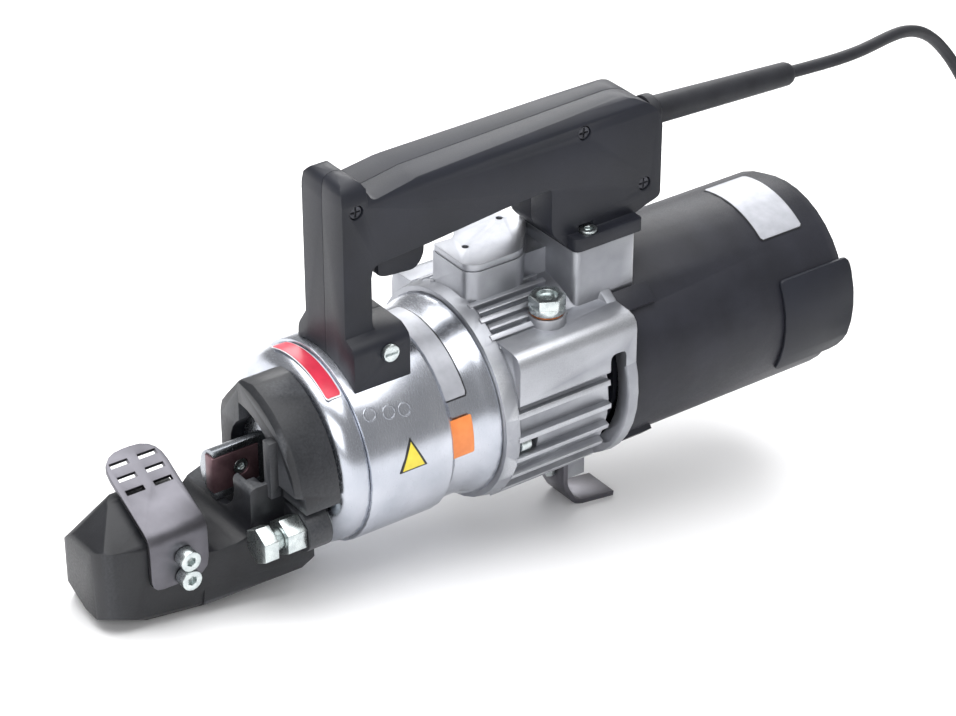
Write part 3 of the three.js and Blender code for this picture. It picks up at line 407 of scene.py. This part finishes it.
coil = coilPoints(cordLook)
route = cordRoute + coil
cord = cordCurve(route, "powerCord", cordLook["thick"], blackRubber)
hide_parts("cord_tube", "cord_coil")
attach(cord, "cutter_frame")

# which solids wear each finish
finishes = [
    (blackCasting, ["head_casting"]),
    (platedSteel, ["front_ring", "cylinder_barrel"]),
    (zincScrew, ["fixed_blade_screw", "moving_blade_screw", "guard_screw_1", "guard_screw_2",
                 "stopper_bolt", "stopper_lock_nut", "flange_screw_1", "flange_screw_2",
                 "flange_screw_3", "flange_screw_4", "foot_bracket_screw", "front_foot_screw_near",
                 "front_foot_screw_far", "rear_foot_screw_near", "rear_foot_screw_far",
                 "oil_filler_plug"]),
    (blackOxide, ["handle_screw_1", "handle_screw_2", "handle_screw_3"]),
    (brushedSteel, ["guard_plate", "foot_bracket"]),
    (bladeSteel, ["fixed_blade", "moving_blade"]),
    (castAluminium, ["pump_housing", "top_cover"]),
    (groundSteel, ["ram", "piston", "pump_block", "pump_plunger", "eccentric_shaft", "eccentric_bearing",
                   "armature_shaft", "motor_bearing_front", "motor_bearing_rear", "return_spring",
                   "armature_core", "stator"]),
    (blackNylon, ["handle_near_half", "handle_far_half", "trigger", "switch_body", "brush_cover_near",
                  "brush_cover_far", "coil_tie", "bearing_bridge", "brush_holder_near",
                  "brush_holder_far", "cooling_fan"]),
    (motorNylon, ["motor_housing"]),
    (blackRubber, ["strain_relief", "plug_body", "piston_seal", "rod_seal", "cord_tube", "cord_coil"]),
    (copper, ["commutator", "oil_filler_washer"]),
]
# solids hidden inside keep their own mesh; every other one gets a smooth, softened copy
innerSolids = {"piston", "piston_seal", "rod_seal", "return_spring", "pump_block", "pump_plunger",
               "eccentric_shaft", "eccentric_bearing", "armature_shaft", "armature_core", "commutator",
               "cooling_fan", "motor_bearing_front", "motor_bearing_rear", "bearing_bridge", "stator",
               "brush_holder_near", "brush_holder_far", "switch_body", "cord_tube", "cord_coil"}
edgeSoftness = {"head_casting": 0.9, "foot_bracket": 0.8, "guard_plate": 0.5, "pump_housing": 0.7,
                "top_cover": 1.0, "handle_near_half": 0.7, "handle_far_half": 0.7, "motor_housing": 0.6,
                "trigger": 1.0, "fixed_blade": 0.4, "moving_blade": 0.4, "front_ring": 0.4,
                "cylinder_barrel": 0.4, "strain_relief": 0.5, "plug_body": 0.9, "coil_tie": 0.6}
# millimetres for a solid that isn't named above, and degrees
copyLook = {"softness": 0.25, "joinAngle": 0.6, "bevelAngle": 34, "smoothAngle": 33}


# flats dressed on the forged nose and its keel: the stretch of the head each is measured on, the way it
# faces in plan and how far it tips up, in degrees, and how deep it goes below that stretch's outermost point
headStretches = {"nose": (-505, -442.5), "keel": (-442.5, -405)}
noseFlats = [("nose", 170, -22, 3.0), ("nose", -126, -54, 5.0), ("keel", -100, -53, 3.0),
             ("keel", -91, -51, 2.5), ("nose", 119, 40, 4.5)]
flatReach = {"chin": 160, "crown": 110, "thick": 60}


def facingVector(heading, tip):
    heading, tip = math.radians(heading), math.radians(tip)
    return Vector((math.cos(heading) * math.cos(tip), math.sin(heading) * math.cos(tip), math.sin(tip)))


def shave(piece, headPoints, stretch, heading, tip, depth):
    # a block laid on the flat takes away everything above it
    facing = facingVector(heading, tip)
    start, end = headStretches[stretch]
    points = [p for p in headPoints if start <= p.x < end]
    middle = sum(points, Vector()) / len(points)
    level = max(p.dot(facing) for p in points) - depth
    turn = facing.to_track_quat("Z", "Y").to_matrix().to_4x4()
    width = flatReach["crown" if tip > 0 else "chin"]
    size = Matrix.Diagonal((width, width, flatReach["thick"], 1))
    seat = Matrix.Translation(middle + facing * (level - middle.dot(facing))) @ turn
    block = bmesh.new()
    bmesh.ops.create_cube(block, size=1.0, matrix=toolToWorld @ seat
                          @ Matrix.Translation((0, 0, flatReach["thick"] / 2)) @ size)
    mesh = bpy.data.meshes.new("waste")
    block.to_mesh(mesh)
    block.free()
    waste = bpy.data.objects.new("waste", mesh)
    bpy.context.scene.collection.objects.link(waste)
    cutter = piece.modifiers.new("shave", "BOOLEAN")
    cutter.operation = "DIFFERENCE"
    cutter.solver = "EXACT"
    cutter.object = waste
    bakeModifiers(piece)
    bpy.data.objects.remove(waste)


def smoothCopy(name, material, softness):
    # the solid's loose triangles are merged, flat regions joined, and edges rounded a little
    source = nodes[name]
    mesh = source.data.copy()
    mesh.name = name + "Shape"
    work = bmesh.new()
    work.from_mesh(mesh)
    bmesh.ops.remove_doubles(work, verts=work.verts, dist=2e-6)
    bmesh.ops.dissolve_limit(work, angle_limit=math.radians(copyLook["joinAngle"]), verts=work.verts,
                             edges=work.edges)
    work.to_mesh(mesh)
    work.free()
    for extra in [a.name for a in mesh.attributes if a.name == "custom_normal"]:
        mesh.attributes.remove(mesh.attributes[extra])
    piece = addObject("finished_" + name, mesh, material)
    if name == "head_casting":
        headPoints = [worldToTool @ v.co for v in source.data.vertices]
        for flat in noseFlats:
            shave(piece, headPoints, *flat)
    rounding = piece.modifiers.new("soften", "BEVEL")
    rounding.width = softness / 1000
    rounding.segments = 2
    rounding.limit_method = "ANGLE"
    rounding.angle_limit = math.radians(copyLook["bevelAngle"])
    rounding.use_clamp_overlap = True
    rounding.harden_normals = False
    bakeModifiers(piece)
    smoothFaces(piece.data, copyLook["smoothAngle"])
    return finishPiece(piece, source["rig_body"], [name])


for material, names in finishes:
    for name in names:
        if name in innerSolids:
            data = nodes[name].data
            data.materials.clear()
            data.materials.append(material)
        else:
            smoothCopy(name, material, edgeSoftness.get(name, copyLook["softness"]))

# thin cast ribs between the top cover and the shoulder, repeated round the tool axis by geometry nodes
ribLook = {"count": 7, "first": 11.0, "step": 5.3, "along": (-254.5, -206), "wide": 1.9, "tall": 6.0,
           "reach": 64.8, "softness": 0.6}


def ribTree():
    tree = bpy.data.node_groups.new("castRibs", "GeometryNodeTree")
    sockets = {}
    tree.interface.new_socket("Geometry", in_out="OUTPUT", socket_type="NodeSocketGeometry")
    kinds = {"Count": "Int", "First Angle": "Float", "Step": "Float", "Size": "Vector", "Reach": "Float",
             "Material": "Material"}
    for label, kind in kinds.items():
        made = tree.interface.new_socket(label, in_out="INPUT", socket_type="NodeSocket" + kind)
        sockets[label] = made.identifier
    given = addNode(tree, "NodeGroupInput").outputs
    dots = addNode(tree, "GeometryNodePoints", {"Count": given["Count"]})
    index = addNode(tree, "GeometryNodeInputIndex").outputs["Index"]
    turned = addNode(tree, "ShaderNodeMath", {0: index, 1: given["Step"], 2: given["First Angle"]},
                     operation="MULTIPLY_ADD")
    sine = addNode(tree, "ShaderNodeMath", {0: turned.outputs[0]}, operation="SINE")
    cosine = addNode(tree, "ShaderNodeMath", {0: turned.outputs[0]}, operation="COSINE")
    minus = addNode(tree, "ShaderNodeMath", {0: sine.outputs[0], 1: -1.0}, operation="MULTIPLY")
    facing = addNode(tree, "ShaderNodeCombineXYZ", {"Y": minus.outputs[0], "Z": cosine.outputs[0]})
    placed = addNode(tree, "ShaderNodeVectorMath", {0: facing.outputs["Vector"], "Scale": given["Reach"]},
                     operation="SCALE")
    spots = addNode(tree, "GeometryNodeSetPosition", {"Geometry": dots.outputs[0],
                                                      "Position": placed.outputs["Vector"]})
    bar = addNode(tree, "GeometryNodeMeshCube", {"Size": given["Size"], "Vertices X": 2, "Vertices Y": 4,
                                                 "Vertices Z": 2})
    spin = addNode(tree, "ShaderNodeCombineXYZ", {"X": turned.outputs[0]})
    bars = addNode(tree, "GeometryNodeInstanceOnPoints", {"Points": spots.outputs["Geometry"],
                                                          "Instance": bar.outputs["Mesh"],
                                                          "Rotation": spin.outputs["Vector"]})
    whole = addNode(tree, "GeometryNodeRealizeInstances", {"Geometry": bars.outputs["Instances"]})
    painted = addNode(tree, "GeometryNodeSetMaterial", {"Geometry": whole.outputs["Geometry"],
                                                        "Material": given["Material"]})
    addNode(tree, "NodeGroupOutput", {"Geometry": painted.outputs["Geometry"]})
    return tree, sockets


def makeRibs(name, side, look, tree, sockets):
    piece = bpy.data.objects.new(name, bpy.data.meshes.new(name))
    bpy.context.scene.collection.objects.link(piece)
    builder = piece.modifiers.new("ribs", "NODES")
    builder.node_group = tree
    length = look["along"][1] - look["along"][0]
    values = {"Count": look["count"], "First Angle": math.radians(look["first"]) * side,
              "Step": math.radians(look["step"]) * side, "Size": (length, look["wide"], look["tall"]),
              "Reach": look["reach"] - look["tall"] / 2, "Material": castAluminium}
    for label, value in values.items():
        builder[sockets[label]] = value
    piece.data.update()
    bakeModifiers(piece)
    piece.data.transform(toolToWorld @ Matrix.Translation((sum(look["along"]) / 2, 0, 0)))
    softened = piece.modifiers.new("soften", "BEVEL")
    softened.width = look["softness"] / 1000
    softened.segments = 2
    bakeModifiers(piece)
    smoothFaces(piece.data, 40)
    return finishPiece(piece, "cutter_frame")


castRibs, ribSockets = ribTree()
makeRibs("upperRibsNear", 1, ribLook, castRibs, ribSockets)
makeRibs("upperRibsFar", -1, ribLook, castRibs, ribSockets)
print("cast ribs made")

# stickers and bands, all blank: from where to where along the axis, degrees down from the top, how far out
# from the axis, the film and how rounded the corners are
stickerLook = {"thin": 0.18, "motor": 61.05}


def sticker(name, xs, angles, radius, material, rounds=0.0, pointed=False):
    piece = curvedPatch(name, xs, angles, radius, stickerLook["thin"], material, rounds, pointed)
    return finishPiece(piece, "cutter_frame")


sticker("redPatchBorder", (-361.5, -351.2), (-23, 36), 57.2, whiteFilm, 1.0)
sticker("redPatch", (-360.9, -351.8), (-22, 35), 57.4, redFilm, 0.8)
sticker("nameBandBorder", (-297.4, -279.6), (-18, 60), 55.9, blackFilm, 1.2)
sticker("nameBand", (-296.5, -280.5), (-17, 59), 56.1, silverFilm, 0.8)
sticker("ratingPlateBorder", (-61.5, -29.5), (-16.6, 37.6), stickerLook["motor"], blackFilm,
        1.5)
sticker("ratingPlate", (-60.8, -30.2), (-15.9, 36.9), stickerLook["motor"] + 0.2, silverFilm,
        1.2)
sticker("squareSticker", (-298.0, -281.5), (70, 93), 57.3, orangeFilm, 0.6)
sticker("triangleStickerBorder", (-332, -314), (70, 88), 59.03, blackFilm, 0, True)
sticker("triangleSticker", (-330.2, -315.8), (72.4, 87.2), 59.2, yellowFilm, 0, True)
print("stickers on")

# three faint inspection rings stamped on the barrel: where along it, and degrees down from the top
stampLook = {"places": [(-342, 51), (-330.5, 53.3), (-321, 54.7)], "ring": 3.6, "wide": 0.55, "proud": 0.22,
             "rooted": 0.3, "barrel": 59.0}


def stampRing(name, x, angle, look, sides=40):
    verts, faces = [], []
    ring, wide = look["ring"], look["wide"]
    loops = [(ring - wide, 0), (ring, look["proud"]), (ring + wide, 0), (ring, -look["rooted"])]
    for i in range(sides):
        turn = 2 * math.pi * i / sides
        for r, lift in loops:
            down = math.radians(angle) + r * math.sin(turn) / look["barrel"]
            level = look["barrel"] + lift
            verts.append((x + r * math.cos(turn), -level * math.sin(down), level * math.cos(down)))
    for i in range(sides):
        for k in range(4):
            j, m = (i + 1) % sides, (k + 1) % 4
            faces.append((i * 4 + k, j * 4 + k, j * 4 + m, i * 4 + m))
    piece = meshFromTool(name, verts, faces, platedSteel)
    smoothFaces(piece.data, 60)
    return finishPiece(piece, "cutter_frame")


for number, (x, angle) in enumerate(stampLook["places"], 1):
    stampRing("stampRing" + str(number), x, angle, stampLook)
print("stamped rings on")

# floor, lights and world: each softbox has its place, its size in metres and its watts
stageLook = {"floorColour": "#F4F4F5", "floorHalf": 3.0, "aim": (0.0, 0.0, 0.12), "worldLight": 0.42,
             "softboxes": [("overheadSoftbox", (-0.25, 0.15, 1.7), (2.4, 2.4), 62),
                           ("sideSoftbox", (-1.3, -1.2, 0.8), (1.2, 0.9), 12),
                           ("rearSoftbox", (1.0, 1.3, 1.1), (1.1, 0.9), 16)]}


def makeFloor(look):
    mesh = bpy.data.meshes.new("floor")
    half = look["floorHalf"]
    corners = [(-half, -half, 0), (half, -half, 0), (half, half, 0), (-half, half, 0)]
    mesh.from_pydata(corners, [], [(0, 1, 2, 3)])
    paper = bpy.data.materials.new("matPaper")
    paper.use_nodes = True
    tree = paper.node_tree
    shader = tree.nodes["Principled BSDF"]
    shader.inputs["Roughness"].default_value = 0.8
    tone = addNode(tree, "ShaderNodeTexNoise", {"Scale": 2.0, "Detail": 2.0})
    white = linear(look["floorColour"])
    brighter = [min(1, c * 1.02) for c in white]
    ramp = addNode(tree, "ShaderNodeValToRGB", {"Fac": tone.outputs["Fac"]})
    tree.links.new(setRamp(ramp, [(0.3, white), (0.7, brighter)]), shader.inputs["Base Color"])
    addObject("floor", mesh, paper)


def areaLight(name, place, aim, size, power):
    data = bpy.data.lights.new(name, "AREA")
    data.shape = "RECTANGLE"
    data.size, data.size_y = size
    data.energy = power
    lamp = bpy.data.objects.new(name, data)
    turn = (Vector(aim) - Vector(place)).to_track_quat("-Z", "Y")
    lamp.matrix_world = Matrix.Translation(place) @ turn.to_matrix().to_4x4()
    bpy.context.scene.collection.objects.link(lamp)


def makeLights(look):
    for name, place, size, power in look["softboxes"]:
        areaLight(name, place, look["aim"], size, power)
    world = bpy.data.worlds.new("paleRoom")
    world.use_nodes = True
    world.node_tree.nodes["Background"].inputs["Color"].default_value = (1, 1, 1, 1)
    world.node_tree.nodes["Background"].inputs["Strength"].default_value = look["worldLight"]
    bpy.context.scene.world = world


makeFloor(stageLook)
makeLights(stageLook)
bpy.context.scene.view_settings.view_transform = "Standard"
print("floor and lights ready")
